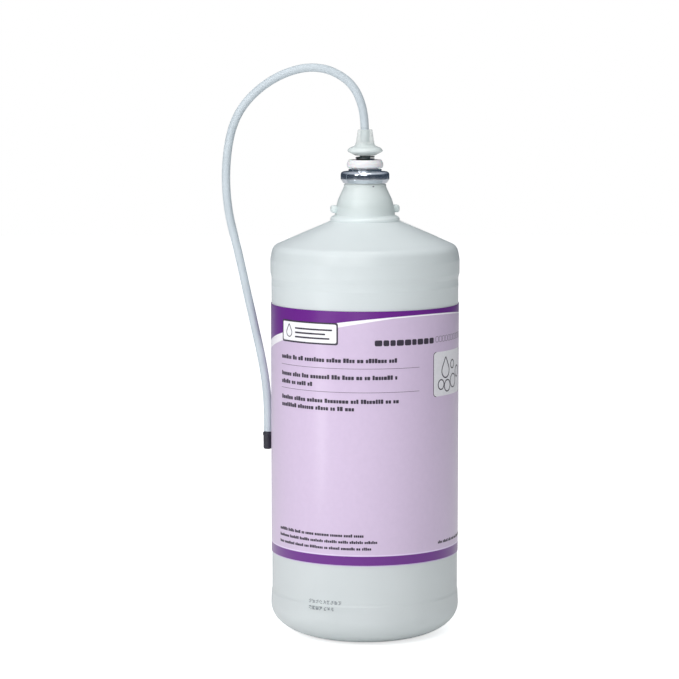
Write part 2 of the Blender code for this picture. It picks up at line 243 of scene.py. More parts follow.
FLOOR_GLOW = 0.68         # lifts the floor to the surround's white, for the camera only
HALF_FLOOR = 3.0
FLOOR_GAP = 0.0002        # keeps the floor from meeting the bottle's foot
floor_mesh = bpy.data.meshes.new("floor")
floor_mesh.from_pydata([(x * HALF_FLOOR, y * HALF_FLOOR, 0)
                        for x, y in ((-1, -1), (1, -1), (1, 1), (-1, 1))], [], [(0, 1, 2, 3)])
floor = bpy.data.objects.new("floor", floor_mesh)
floor.location.z = cad_low.z - FLOOR_GAP
floor_mesh.materials.append(floor_material())
scene.collection.objects.link(floor)

# %% Surround
def make_surround():
    """White to the camera; a light that fades to the right; dark at eye level in reflections."""
    world = bpy.data.worlds.new("pale surround")
    world.use_nodes = True
    nodes, links = world.node_tree.nodes, world.node_tree.links
    direction = nodes.new("ShaderNodeTexCoord")
    split = nodes.new("ShaderNodeSeparateXYZ")
    links.new(direction.outputs["Generated"], split.inputs["Vector"])
    path = nodes.new("ShaderNodeLightPath")

    def glow(axis, stops, strength):
        reach = nodes.new("ShaderNodeMapRange")
        reach.inputs["From Min"].default_value = -1.0
        links.new(split.outputs[axis], reach.inputs["Value"])
        light = nodes.new("ShaderNodeBackground")
        links.new(ramp(nodes, links, reach.outputs["Result"], stops), light.inputs["Color"])
        light.inputs["Strength"].default_value = strength
        return light.outputs["Background"]

    def choose(ray, otherwise, wanted):
        mix = nodes.new("ShaderNodeMixShader")
        links.new(path.outputs[ray], mix.inputs["Fac"])
        links.new(otherwise, mix.inputs[1])
        links.new(wanted, mix.inputs[2])
        return mix.outputs["Shader"]

    seen = nodes.new("ShaderNodeBackground")
    set_inputs(seen, Strength=1.0, Color=WHITE)
    lit = choose("Is Glossy Ray", glow("X", SURROUND, SURROUND_POWER), glow("Z", MIRRORED, 1.0))
    final = choose("Is Camera Ray", lit, seen.outputs["Background"])
    links.new(final, nodes["World Output"].inputs["Surface"])
    return world


SURROUND_POWER = 0.87
SURROUND = [(0.0, (0.38, 0.38, 0.40)), (0.30, (0.64, 0.64, 0.65)), (0.55, (0.67, 0.67, 0.68)),
            (0.78, (0.52, 0.54, 0.54)), (1.0, (0.15, 0.18, 0.18))]
MIRRORED = [(0.37, (0.55, 0.57, 0.60)), (0.43, (0.06, 0.08, 0.11)), (0.59, (0.04, 0.055, 0.08)),
            (0.72, (0.26, 0.29, 0.34)), (0.88, (0.66, 0.69, 0.74)), (1.0, (0.95, 0.96, 1.0))]
scene.world = make_surround()


# %% Lights
def area_light(name, place, aim, size, power):
    data = bpy.data.lights.new(name, "AREA")
    data.shape = "RECTANGLE"
    data.size, data.size_y = size
    data.energy = power
    light = bpy.data.objects.new(name, data)
    light.location = place
    light.rotation_euler = (Vector(aim) - Vector(place)).to_track_quat("-Z", "Y").to_euler()
    scene.collection.objects.link(light)
    return light


# name, place, height on the axis it aims at, size (all in metres), power in watts
for name, place, aim_high, size, power in (
        ("left softbox", (-0.95, -1.0, 0.95), 0.15, (0.35, 0.9), 6.5),
        ("front fill", (-0.25, -1.9, 1.1), 0.12, (1.0, 0.8), 12.0),
        ("top light", (0.0, -0.35, 1.3), 0.2, (0.7, 0.5), 3.0),
        ("near strip", (-0.28, -0.22, 0.10), 0.10, (0.05, 0.19), 0.11)):
    area_light(name, place, (0.0, 0.0, aim_high), size, power)

# %% [markdown]
# ## The delivery tube
# The tube is a soft plastic hose pushed into the actuator's socket. It is stiff
# enough to stand in its own arc, then it runs down beside the bottle to a rubber
# tip. Its route is a list of points, because a hand laid it; a smooth curve is
# read through them, and a circle is swept along it as a closed mesh. A NURBS
# curve would also do, but it would cut the corners of the route.

# %% Route of the tube
TUBE_R = 2.25 * MM
ROUTE = [
    (0.0, 0.0, 268.6), (-0.2, 0.0, 275.6), (-0.6, 0.0, 281.7), (-1.9, 0.0, 288.4), (-4.6, 0.0, 295.2),
    (-8.8, 0.0, 300.8), (-14.4, 0.0, 304.9), (-21.5, 0.0, 307.8), (-29.9, 0.0, 308.6), (-38.2, 0.0, 307.2),
    (-46.5, 0.0, 304.0), (-54.8, 0.1, 298.9), (-62.2, 0.2, 292.3), (-67.7, 0.4, 285.0), (-71.4, 0.6, 277.0),
    (-73.7, 0.9, 268.0), (-75.0, 1.3, 258.0), (-75.4, 1.8, 248.0), (-74.9, 2.4, 237.7), (-73.6, 3.1, 228.0),
    (-71.5, 3.8, 218.5), (-69.1, 4.5, 208.5), (-66.8, 5.3, 198.0), (-64.5, 6.2, 187.0), (-62.1, 7.1, 176.0),
    (-59.9, 8.0, 165.6), (-57.6, 8.8, 155.0), (-55.8, 9.5, 145.5), (-54.4, 10.1, 136.0), (-53.6, 10.5, 127.0),
    (-53.3, 10.6, 118.5), (-53.3, 10.6, 109.3),
]


def smooth_line(route, parts=6):
    """Points along a Catmull-Rom curve through the route, in metres."""
    points = [Vector(p) * MM for p in route]
    line = [points[0] * 2 - points[1], *points, points[-1] * 2 - points[-2]]
    smooth = []
    for a, b, c, d in zip(line, line[1:], line[2:], line[3:]):
        for k in range(parts):
            t = k / parts
            smooth.append(0.5 * (2 * b + (c - a) * t + (2 * a - 5 * b + 4 * c - d) * t * t
                                 + (3 * b - a - 3 * c + d) * t ** 3))
    smooth.append(points[-1])
    return smooth


def keep_inside(line):
    """Draws the arc in by a hair, so that the round hose stays within the frame's own many-sided one."""
    foot = line[0].z
    tall = max(p.z for p in line) + TUBE_R
    wide = min(p.x for p in line) - TUBE_R
    down = (cad_high.z - TUBE_R - foot) / (tall - TUBE_R - foot)
    across = (cad_low.x + TUBE_R) / (wide + TUBE_R)
    for point in line:
        point.x *= min(1.0, across)
        point.z = foot + (point.z - foot) * min(1.0, down) if point.z > foot else point.z
    return line


tube_line = keep_inside(smooth_line(ROUTE))


# %% Mesh helpers
def link(name, mesh, material):
    piece = bpy.data.objects.new(name, mesh)
    scene.collection.objects.link(piece)
    mesh.materials.append(material)
    return piece


def finish_piece(bm, name, material, smooth=True, sharp=None):
    """Makes a linked piece of a bmesh, with its faces turned outwards."""
    bmesh.ops.recalc_face_normals(bm, faces=bm.faces)
    for face in bm.faces:
        face.smooth = smooth
    mesh = bpy.data.meshes.new(name)
    bm.to_mesh(mesh)
    bm.free()
    if sharp is not None:
        mesh.set_sharp_from_angle(angle=radians(sharp))
    return link(name, mesh, material)


def bridge(bm, first, second):
    """Joins two loops of equal count with faces."""
    for k in range(len(first)):
        n = (k + 1) % len(first)
        bm.faces.new((first[k], first[n], second[n], second[k]))


def sweep(name, line, radius, material, sides=32):
    """Sweeps a circle along a line and caps both ends."""
    bm = bmesh.new()
    last = len(line) - 1
    along = [(line[min(i + 1, last)] - line[max(i - 1, 0)]).normalized() for i in range(last + 1)]
    side = along[0].orthogonal().normalized()
    loops = []
    for centre, direction in zip(line, along):
        side = (side - direction * side.dot(direction)).normalized()
        other = direction.cross(side)
        loops.append([bm.verts.new(centre + (side * cos(a) + other * sin(a)) * radius)
                      for a in (2 * pi * k / sides for k in range(sides))])
    for first, second in zip(loops, loops[1:]):
        bridge(bm, first, second)
    bm.faces.new(list(reversed(loops[0])))
    bm.faces.new(loops[-1])
    return finish_piece(bm, name, material, sharp=40.0)


# %% [markdown]
# ### Tube plastic
# Natural soft plastic: pale and bluish, with a soft gloss and slow swells in
# its surface. The real hose lets a little light through; an opaque pale colour
# gives the same milky look, and it renders cleaner.


# %% Tube material
def tube_material():
    material, nodes, links, shader = new_material("natural hose plastic")
    cloud = noise(nodes, links, 60.0)
    stops = [(0.3, (0.48, 0.54, 0.58)), (0.75, (0.55, 0.61, 0.65))]
    surface(nodes, links, shader, cloud, stops, (0.38, 0.48))
    set_inputs(shader, IOR=1.45)
    slow = noise(nodes, links, 60.0, 2.0)
    bump(nodes, links, shader, slow, 0.0002, 0.05)
    return material


delivery_tube = sweep("delivery_tube_hose", tube_line, TUBE_R, tube_material(), sides=36)
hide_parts("delivery_tube")
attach(delivery_tube, "plunger")
print("hose faces", len(delivery_tube.data.polygons))

# %% [markdown]
# ## Turned shapes
# The bottle, the metal cap and every moulding of the pump are round about one
# axis. A helper takes corner points with a radius each, rounds them with arcs
# and turns the profile. A Screw modifier would do the same; turning it in mesh
# code gives exact control of the poles.


# %% Rounded profile and turning
def rounded(corners, bend=8):
    """Profile points from (r, z, corner radius) entries in millimetres."""
    points = []
    for index, (r, z, radius) in enumerate(corners):
        here = Vector((r, z))
        if radius <= 0:
            points.append((r, z))
            continue
        back = Vector(corners[index - 1][:2]) - here
        ahead = Vector(corners[(index + 1) % len(corners)][:2]) - here
        reach = min(back.length, ahead.length) * 0.49
        back.normalize()
        ahead.normalize()
        half = acos(max(-1.0, min(1.0, back.dot(ahead)))) / 2
        tangent = min(radius / tan(half), reach)
        radius = tangent * tan(half)
        centre = here + (back + ahead).normalized() * (radius / sin(half))
        first, last = here + back * tangent - centre, here + ahead * tangent - centre
        turn = first.angle_signed(last)
        for step in range(bend + 1):
            spoke = first.copy()
            spoke.rotate(Matrix.Rotation(-turn * step / bend, 2))
            points.append(tuple(centre + spoke))
    return points


def turn_profile(name, profile, material, sides=128, closed=True, centre=(0.0, 0.0)):
    """Turns (r, z) points in millimetres about an upright axis into a closed mesh."""
    bm = bmesh.new()
    loops = []
    for r, z in profile:
        count = 1 if r < 1e-6 else sides
        loops.append([bm.verts.new((centre[0] + r * MM * cos(a), centre[1] + r * MM * sin(a), z * MM))
                      for a in (2 * pi * k / sides for k in range(count))])
    pairs = list(zip(loops, loops[1:])) + ([(loops[-1], loops[0])] if closed else [])
    for first, second in pairs:
        for k in range(sides):
            n = (k + 1) % sides
            corners = (first[k % len(first)], second[k % len(second)],
                       second[n % len(second)], first[n % len(first)])
            unique = list(dict.fromkeys(corners))
            if len(unique) > 2:
                bm.faces.new(unique)
    return finish_piece(bm, name, material, sharp=35.0)


# %% [markdown]
# ## The bottle
# Blown natural plastic: the wall is thin and milky, soap shows through as a
# pearly white, and the neck, which has no soap behind it, looks a little
# greener. The mould leaves soft rings at the shoulder and heel, a recessed
# panel for the label, and a fine parting line up both sides.

# %% Bottle profile
RING_R, PANEL_R, WALL = 51.3, 50.7, 1.1
PANEL_LOW, PANEL_HIGH, STEP_RUN = 22.3, 198.0, 2.6
HEEL_WIDE, HEEL_HIGH = 26.3, 16.4


def heel(radius, wide, high, floor, count=20):
    return [(radius - wide + wide * cos(a), floor + high - high * sin(a))
            for a in (pi / 2 * i / count for i in range(count + 1))]


def bottle_outside():
    """Corners are (radius, height, rounding) in millimetres, from the lip down."""
    upper = rounded([
        (8.6, 249.2, 0), (12.35, 249.2, 0.3), (12.35, 248.3, 0), (11.7, 247.5, 0), (10.9, 246.3, 0),
        (10.9, 245.9, 0), (11.45, 245.3, 0.3), (11.45, 244.2, 0.9), (14.5, 237.6, 6.0),
        (15.8, 233.1, 3.0), (16.2, 229.0, 0.5), (18.0, 228.1, 0.6),
        (18.75, 227.2, 0.6), (18.75, 226.2, 0.4), (18.6, 225.8, 0.3), (50.0, 212.3, 6.7),
        (RING_R - 0.25, 206.6, 3.0), (RING_R, 205.0, 0.6), (RING_R, PANEL_HIGH, 2.0),
        (PANEL_R, PANEL_HIGH - STEP_RUN, 2.0), (PANEL_R, PANEL_HIGH - 6.0, 0),
        (PANEL_R + 0.12, PANEL_HIGH - 6.6, 0.2), (PANEL_R, PANEL_HIGH - 7.2, 0),
        (PANEL_R, PANEL_LOW + STEP_RUN, 6.0), (RING_R, PANEL_LOW, 6.0),
    ])
    base = [(20.5, 0.0), (18.5, 0.5), (16.5, 1.6), (10.0, 3.6), (0.0, 4.5)]
    return upper + heel(RING_R, HEEL_WIDE, HEEL_HIGH, 0.0) + base


def bottle_inside():
    ring, panel = RING_R - WALL, PANEL_R - WALL
    rise = list(reversed(heel(ring, HEEL_WIDE - WALL, HEEL_HIGH - WALL, WALL)))
    return [(0.0, 4.5 + WALL), (10.0, 3.6 + WALL), (16.5, 1.6 + WALL), (20.5, WALL), *rise,
            *rounded([(ring, PANEL_LOW, 0), (panel, PANEL_LOW + STEP_RUN, 0),
                      (panel, PANEL_HIGH - STEP_RUN, 0), (ring, PANEL_HIGH, 0), (ring, 206.0, 3.0),
                      (49.1, 211.6, 5.6), (17.5, 224.6, 0), (14.7, 227.1, 0), (14.7, 233.7, 0),
                      (9.9, 243.3, 0), (8.6, 245.8, 0)])]


bottle_profile = bottle_inside() + bottle_outside()
print("bottle profile points", len(bottle_profile))


# %% Bottle material
def milky_material():
    material, nodes, links, shader = new_material("milky blown plastic")
    height = nodes.new("ShaderNodeMapRange")
    height.inputs["From Max"].default_value = BOTTLE_TOP
    links.new(object_axes(nodes, links)["Z"], height.inputs["Value"])
    # Painted light and shade by height: the colour darkens towards the heel (painted shade), dips on the
    # shoulder's round to dim its highlight (painted shade), and lifts on the sloping shoulder (painted
    # highlight). The greener neck is the plastic with no soap behind it.
    tint_and_painted_light = ramp(nodes, links, height.outputs["Result"], [
        (0.0, (0.645, 0.700, 0.700)), (0.07, (0.640, 0.688, 0.694)),
        (0.14, (0.640, 0.688, 0.696)), (0.80, (0.700, 0.765, 0.775)),
        (0.840, (0.672, 0.734, 0.744)), (0.862, (0.752, 0.822, 0.832)), (0.905, (0.746, 0.818, 0.824)),
        (0.94, (0.660, 0.737, 0.728)), (1.0, (0.70, 0.76, 0.75))])
    cloud = noise(nodes, links, 22.0, 4.0, (1.0, 1.0, 0.5))
    clouded = ramp(nodes, links, cloud, [(0.3, (0.955, 0.965, 0.965)), (0.7, (1.0, 1.0, 1.0))])
    links.new(multiply(nodes, links, tint_and_painted_light, clouded), shader.inputs["Base Color"])
    links.new(spread(nodes, links, cloud, 0.26, 0.38), shader.inputs["Roughness"])
    set_inputs(shader, Subsurface_Weight=0.3, Subsurface_Scale=0.01,
               Subsurface_Radius=(1.0, 1.0, 1.0), IOR=1.5)
    slow = noise(nodes, links, 30.0, 2.0, (1.0, 1.0, 0.35))
    first = bump(nodes, links, shader, slow, 0.0010, 0.10)
    fine = noise(nodes, links, 1500.0, 2.0)
    bump(nodes, links, shader, fine, 0.00006, 0.12, after=first)
    return material


milky = milky_material()
bottle = turn_profile("blown_bottle", bottle_profile, milky, sides=192)
print("bottle faces", len(bottle.data.polygons))


# %% [markdown]
# ### Lugs and parting line
# Two small tabs stand out from the neck, where the dispenser locks the bottle's
# position. They were squeezed from the same plastic, so they share its
# material. The parting line is a hair-thin rib from neck to heel.

# %% Neck lugs
LUG_TURN = radians(10.0)
LUG_SIZE, LUG_PLACE, LUG_EDGE = (3.9, 5.0, 4.2), (16.95, 0.0, 232.3), 1.5


def rounded_box(bm, size, turn, place, edge):
    """Adds a box with rounded edges: size and place in millimetres, turned about Z."""
    made = bmesh.ops.create_cube(bm, size=1.0)["verts"]
    bmesh.ops.transform(bm, matrix=Matrix.Diagonal((*[s * MM for s in size], 1.0)), verts=made)
    edges = list({e for v in made for e in v.link_edges})
    beveled = bmesh.ops.bevel(bm, geom=edges, offset=edge * MM, segments=4, profile=0.5, affect="EDGES")
    verts = list({v for f in beveled["faces"] for v in f.verts} | {v for v in made if v.is_valid})
    move = Matrix.Rotation(turn, 4, "Z") @ Matrix.Translation(Vector(place) * MM)
    bmesh.ops.transform(bm, matrix=move, verts=verts)


def make_lugs():
    bm = bmesh.new()
    for turn in (LUG_TURN, LUG_TURN + pi):
        rounded_box(bm, LUG_SIZE, turn, LUG_PLACE, LUG_EDGE)
    return finish_piece(bm, "neck_lugs", milky)


lugs = make_lugs()


# %% Parting line
# (across, proud) in millimetres
RIB_SECTION = ((-0.18, -0.05), (0.0, 0.07), (0.18, -0.05), (0.0, -0.3))
RIB_TOP, NECK_FOOT, RIB_INNER_R = 244.0, 226.0, 26.0


def make_parting_line():
    """A hair-thin rib that follows the outside from the neck to the heel on both sides."""
    path = [(r, z) for r, z in bottle_outside() if z < RIB_TOP and (r > RIB_INNER_R or z > NECK_FOOT)]
    bm = bmesh.new()
    for turn in (LUG_TURN, LUG_TURN + pi):
        rows = []
        for r, z in path:
            ring = []
            for across, lift in RIB_SECTION:
                corner = Vector((r + lift, across, z)) * MM
                ring.append(bm.verts.new(Matrix.Rotation(turn, 3, "Z") @ corner))
            rows.append(ring)
        for first, second in zip(rows, rows[1:]):
            bridge(bm, first, second)
        bm.faces.new(rows[0])
        bm.faces.new(rows[-1])
    return finish_piece(bm, "parting_line", milky)


parting_line = make_parting_line()
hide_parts("bottle")
for piece in (bottle, lugs, parting_line):
    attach(piece, "pack")
print("lugs and parting line ride on the pack")

# %% [markdown]
# ## The label
# A printed film wraps the panel once and butts at the back. Its ground is lilac,
# a purple field fills its top and falls away to the right under a white stripe,
# and a purple band closes the bottom. The fields follow heights and the angle
# round the bottle, so the shader works them out from Object coordinates, and
# the small print is thin ink, real geometry a few hundredths of a millimetre
# proud.


# %% Label shader
def math_node(nodes, links, operation, *values, clamp=False):
    node = nodes.new("ShaderNodeMath")
    node.operation = operation
    node.use_clamp = clamp
    for socket, value in zip(node.inputs, values):
        if isinstance(value, (int, float)):
            socket.default_value = value
        else:
            links.new(value, socket)
    return node.outputs["Value"]


def mix_colour(nodes, links, factor, first, second):
    node = nodes.new("ShaderNodeMix")
    node.data_type = "RGBA"
    links.new(factor, node.inputs["Factor"])
    for socket, value in ((node.inputs["A"], first), (node.inputs["B"], second)):
        if isinstance(value, tuple):
            socket.default_value = (*value, 1.0)
        else:
            links.new(value, socket)
    return node.outputs["Result"]


PURPLE, LILAC, PAPER_WHITE = (0.130, 0.012, 0.225), (0.600, 0.490, 0.660), (0.90, 0.88, 0.92)
EDGE_SOFT = 0.15          # millimetres over which one field of ink meets the next


def label_material():
    material, nodes, links, shader = new_material("printed label film")
    axes = object_axes(nodes, links)
    x, y, z = (axes[k] for k in "XYZ")
    angle = math_node(nodes, links, "ARCTAN2", x, math_node(nodes, links, "MULTIPLY", y, -1.0))
    around = math_node(nodes, links, "MULTIPLY", angle, LABEL_R / MM)
    high = math_node(nodes, links, "DIVIDE", z, MM)

    def above(level):
        """1 where the height is over the level, with a soft edge."""
        rise = math_node(nodes, links, "SUBTRACT", high, level)
        return math_node(nodes, links, "MULTIPLY_ADD", rise, 1 / EDGE_SOFT, 0.5, clamp=True)

    # the stripe's upper edge is one shallow bow, highest right of the front
    side = math_node(nodes, links, "SUBTRACT", around, BOW_PEAK)
    square = math_node(nodes, links, "MULTIPLY", side, side)
    bow = math_node(nodes, links, "MULTIPLY_ADD", square, -BOW_FALL, BOW_TOP)
    stripe_high = math_node(nodes, links, "MAXIMUM", bow, BOW_FLOOR)
    sine = math_node(nodes, links, "SINE", angle)
    slim = math_node(nodes, links, "MULTIPLY_ADD", sine, -STRIPE_TAPER, STRIPE_WIDE)
    slim = math_node(nodes, links, "MAXIMUM", slim, STRIPE_THIN)
    stripe_low = math_node(nodes, links, "SUBTRACT", stripe_high, slim)
    colour = mix_colour(nodes, links, above(stripe_low), LILAC, PAPER_WHITE)
    colour = mix_colour(nodes, links, above(stripe_high), colour, PURPLE)
    colour = mix_colour(nodes, links, above(BAND_TOP + BAND_RIM), BAND_RIM_COLOUR, colour)
    colour = mix_colour(nodes, links, above(BAND_TOP), PURPLE, colour)
    colour = mix_colour(nodes, links, above(LABEL_LOW / MM + FOOT_RIM), FOOT_RIM_COLOUR, colour)
    grain = noise(nodes, links, 420.0)
    tint = ramp(nodes, links, grain, [(0.3, (0.97, 0.97, 0.975)), (0.7, (1.0, 1.0, 1.0))])
    links.new(multiply(nodes, links, colour, tint), shader.inputs["Base Color"])
    links.new(spread(nodes, links, grain, 0.26, 0.34), shader.inputs["Roughness"])
    set_inputs(shader, IOR=1.42, Coat_Weight=0.40, Coat_Roughness=0.26)
    slow = noise(nodes, links, 35.0, 2.0, (1.0, 1.0, 0.5))
    bump(nodes, links, shader, slow, 0.0006, 0.08)
    return material


BOW_PEAK, BOW_TOP, BOW_FALL, BOW_FLOOR = 36.0, 178.9, 0.0014, 160.0
STRIPE_WIDE, STRIPE_TAPER, STRIPE_THIN = 1.6, 2.95, 0.75
BAND_TOP, BAND_RIM, BAND_RIM_COLOUR = 51.0, 0.7, (0.72, 0.60, 0.82)
FOOT_RIM, FOOT_RIM_COLOUR = 0.45, (0.60, 0.50, 0.72)
FILM = 0.18               # thickness of the film, in millimetres
label_film = turn_profile("label_film", rounded([
    (LABEL_R / MM, LABEL_HIGH / MM, 0.05), (LABEL_R / MM, LABEL_LOW / MM, 0.05),
    (LABEL_R / MM - FILM, LABEL_LOW / MM, 0), (LABEL_R / MM - FILM, LABEL_HIGH / MM, 0)], bend=3),
    label_material(), sides=256)
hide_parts("label")
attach(label_film, "pack")
print("label", round((LABEL_HIGH - LABEL_LOW) / MM, 1), "mm high")

# %% [markdown]
# ### Ink on the label
# Small print is a thin film of ink. Each mark is a curved slab that follows the
# label, so it stays crisp at any distance. The lines of print are rows of plain
# blocks, grouped like words, that spell nothing.

# %% Curved marks
INK = 0.03                # how far the ink stands proud, in millimetres
SUNK = -0.05              # its back lies under the film's face, so no gap shows
LONGEST_COLUMN = 1.2      # the widest flat step of a mark round the bottle


def rounded_outline(u0, u1, z0, z1, edge, bend=4):
    """Corner-rounded rectangle as (u, z) points, anticlockwise."""
    edge = min(edge, (u1 - u0) * 0.49, (z1 - z0) * 0.49)
    points = []
    for cu, cz, start in ((u1 - edge, z1 - edge, 0.0), (u0 + edge, z1 - edge, pi / 2),
                          (u0 + edge, z0 + edge, pi), (u1 - edge, z0 + edge, 1.5 * pi)):
        for k in range(bend + 1):
            a = start + pi / 2 * k / bend
            points.append((cu + edge * cos(a), cz + edge * sin(a)))
    return points


class Marks:
    """Collects curved slabs on an upright cylinder whose front faces the camera."""

    def __init__(self, radius, lift=INK):
        self.bm = bmesh.new()
        self.radius, self.lift = radius, lift

    def place(self, u, z, lift):
        radius = self.radius(z) if callable(self.radius) else self.radius
        a = u / radius
        return self.bm.verts.new(((radius + lift) * sin(a) * MM, -(radius + lift) * cos(a) * MM, z * MM))

    def slab(self, u0, u1, z0, z1, edge=0.0, bend=3):
        """A filled rounded rectangle, in columns so that it can bend round the bottle."""
        edge = min(edge, (u1 - u0) * 0.49, (z1 - z0) * 0.49)
        turns = [pi / 2 * k / bend for k in range(bend + 1)] if edge > 0 else [pi / 2]
        left = [(u0 + edge - edge * cos(a), edge * (1 - sin(a))) for a in turns]
        start, width = u0 + edge, u1 - u0 - 2 * edge
        steps = max(1, ceil(width / LONGEST_COLUMN))
        middle = [(start + width * k / steps, 0.0) for k in range(1, steps)]
        right = [(u0 + u1 - u, cut) for u, cut in reversed(left)]
        rings = []
        for u, cut in left + middle + right:
            low, high = z0 + cut, z1 - cut
            rings.append([self.place(u, low, self.lift), self.place(u, high, self.lift),
                          self.place(u, high, SUNK), self.place(u, low, SUNK)])
        for first, second in zip(rings, rings[1:]):
            bridge(self.bm, first, second)
        self.bm.faces.new(rings[0])
        self.bm.faces.new(rings[-1])

    def ribbon(self, outline, wide):
        """A closed line of the given width that follows (u, z) points."""
        points = [Vector(p) for p in outline]
        rings = []
        for i, here in enumerate(points):
            along = (points[(i + 1) % len(points)] - points[i - 1]).normalized()
            across = Vector((-along.y, along.x)) * (wide / 2)
            a, b = here + across, here - across
            rings.append([self.place(*a, self.lift), self.place(*b, self.lift),
                          self.place(*b, SUNK), self.place(*a, SUNK)])
        for first, second in zip(rings, rings[1:] + rings[:1]):
            bridge(self.bm, first, second)

    def done(self, name, material):
        return finish_piece(self.bm, name, material, smooth=False)


# %% Ink materials
def ink_material(name, colour, roughness=0.35):
    material, nodes, links, shader = new_material(name)
    grain = noise(nodes, links, 700.0)
    stops = [(0.3, shade(colour, 0.94)), (0.7, colour)]
    surface(nodes, links, shader, grain, stops, (roughness - 0.05, roughness + 0.08))
    return material


black_ink = ink_material("dark ink", (0.030, 0.022, 0.040))
grey_ink = ink_material("grey ink", (0.16, 0.14, 0.19))
white_ink = ink_material("white ink", (0.88, 0.88, 0.90), 0.3)
silver_ink = ink_material("pale grey ink", (0.76, 0.75, 0.79))
faint_ink = ink_material("faint code ink", (0.22, 0.25, 0.27), 0.5)

# %% Lines of print
LABEL_FACE = LABEL_R / MM
PRINT_SEED = 7
# left, right, foot, top and block width of each line, in millimetres
TEXT_LINES = (
    (-54.0, 17.0, 154.2, 156.6, 1.45), (-54.0, 17.2, 145.2, 147.6, 1.45),
    (-54.0, -28.8, 141.0, 143.3, 1.45), (-54.0, 18.1, 132.6, 134.9, 1.45),
    (-54.0, -5.8, 128.6, 130.9, 1.45), (-56.3, -0.6, 61.2, 62.9, 0.95),
    (-56.3, 7.1, 57.8, 59.4, 0.95), (-56.3, 3.4, 54.3, 55.9, 0.95), (44.3, 79.0, 54.6, 56.2, 0.95))
HEADLINE = (4.7, 40.3, 163.1, 166.2, 3.6)
OUTLINED = (41.8, 76.0, 163.5, 166.5, 2.3)
RULE_LEFT, RULE_RIGHT, RULE_HALF, RULE_LEVELS = -54.4, 30.2, 0.13, (151.1, 138.5)


def block_words(marks, u0, u1, low, high, glyph, chance, caps=False):
    """Fills a line with blocks grouped like words; chance draws the heights and gaps."""
    u = u0
    left_in_word = 40 if caps else chance.randint(4, 8)
    while u < u1:
        wide = glyph * chance.uniform(0.75, 1.15)
        if u + wide > u1:
            break
        tall = high if caps or chance.random() < 0.3 else low + (high - low) * 0.76
        marks.slab(u, u + wide, low, tall, edge=0.18 * glyph, bend=2)
        u += wide + glyph * 0.16
        left_in_word -= 1
        if left_in_word == 0:
            u += glyph * 0.7
            left_in_word = chance.randint(2, 8)


def open_blocks(marks, u0, u1, low, high, glyph):
    """A run of thin outlined blocks, all of one height."""
    count = int((u1 - u0) / (glyph * 1.25))
    for k in range(count):
        u = u0 + k * glyph * 1.25
        marks.ribbon(rounded_outline(u, u + glyph, low, high, 0.8), 0.28)


def print_lines():
    chance = random.Random(PRINT_SEED)
    dark = Marks(LABEL_FACE)
    for line in TEXT_LINES:
        block_words(dark, *line, chance)
    block_words(dark, *HEADLINE, chance, caps=True)
    ink = dark.done("label_print", black_ink)
    light = Marks(LABEL_FACE)
    open_blocks(light, *OUTLINED)
    for level in RULE_LEVELS:
        light.slab(RULE_LEFT, RULE_RIGHT, level - RULE_HALF, level + RULE_HALF)
    return ink, light.done("label_fine_print", grey_ink)


label_print, label_fine_print = print_lines()
print("print blocks", len(label_print.data.polygons), "faces")


# %% Plate and pictogram
def circle_outline(u, z, radius, count=28):
    return [(u + radius * cos(a), z + radius * sin(a)) for a in (2 * pi * k / count for k in range(count))]


def drop_outline(u, z, size, count=36):
    """A plain drop: a circle whose top is drawn up to a point."""
    points = []
    for k in range(count):
        a = 2 * pi * k / count
        rise = max(0.0, sin(a)) ** 3
        points.append((u + size * cos(a) * (1 - 0.55 * rise), z + size * (sin(a) + 0.9 * rise)))
    return points


PLATE_BACK, PLATE_FACE = (-53.2, -14.8, 163.4, 175.2), (-52.3, -15.7, 164.3, 174.3)
PLATE_DROP = (-46.8, 168.6, 2.3)
BAR_LEFT, BAR_HALF, BARS = -42.0, 0.45, ((171.2, 24.0), (168.9, 20.0), (166.6, 22.5))
SIGN_BOX, SIGN_EDGE = (40.2, 72.6, 134.3, 158.1), 2.0
SIGN_DROP = (51.0, 147.6, 3.8)
BUBBLES = ((46.6, 140.4, 2.6), (52.8, 139.4, 3.1), (59.8, 141.4, 3.6), (58.8, 150.4, 2.2),
           (66.4, 145.8, 3.0))
UNDER, OVER, TOP = 0.02, 0.045, 0.06      # layers of ink, in millimetres over the film


def label_plate():
    back = Marks(LABEL_FACE, lift=UNDER)
    back.slab(*PLATE_BACK, edge=1.2, bend=4)
    face = Marks(LABEL_FACE, lift=OVER)
    face.slab(*PLATE_FACE, edge=0.9, bend=4)
    mark = Marks(LABEL_FACE, lift=TOP)
    mark.ribbon(drop_outline(*PLATE_DROP), 0.5)
    for row, reach in BARS:
        mark.slab(BAR_LEFT, BAR_LEFT + reach, row - BAR_HALF, row + BAR_HALF, edge=BAR_HALF)
    return (back.done("plate_border", black_ink), face.done("plate_face", white_ink),
            mark.done("plate_mark", black_ink))


def label_pictogram():
    box = Marks(LABEL_FACE, lift=UNDER)
    box.slab(*SIGN_BOX, edge=SIGN_EDGE, bend=5)
    lines = Marks(LABEL_FACE, lift=0.05)
    lines.ribbon(rounded_outline(*SIGN_BOX, SIGN_EDGE), 0.4)
    lines.ribbon(drop_outline(*SIGN_DROP), 0.7)
    for bubble in BUBBLES:
        lines.ribbon(circle_outline(*bubble), 0.65)
    return box.done("pictogram_ground", silver_ink), lines.done("pictogram_lines", black_ink)


plate_border, plate_face, plate_mark = label_plate()
pictogram_ground, pictogram_lines = label_pictogram()


# %% Lot code
def bottle_face(z):
    """The bottle's outside radius near the heel, in millimetres."""
    if z > PANEL_LOW + STEP_RUN:
        return PANEL_R
    return RING_R if z < PANEL_LOW else RING_R + (PANEL_R - RING_R) * (z - PANEL_LOW) / STEP_RUN


LOT_LEFT, LOT_ROWS = -32.2, ((24.5, 9), (21.0, 7))     # rows are (foot, letters)
LETTER, DOT_ACROSS, DOT_UP, DOT_WIDE, DOT_TALL, DOT_CHANCE = 2.2, 0.55, 0.5, 0.48, 0.42, 0.62


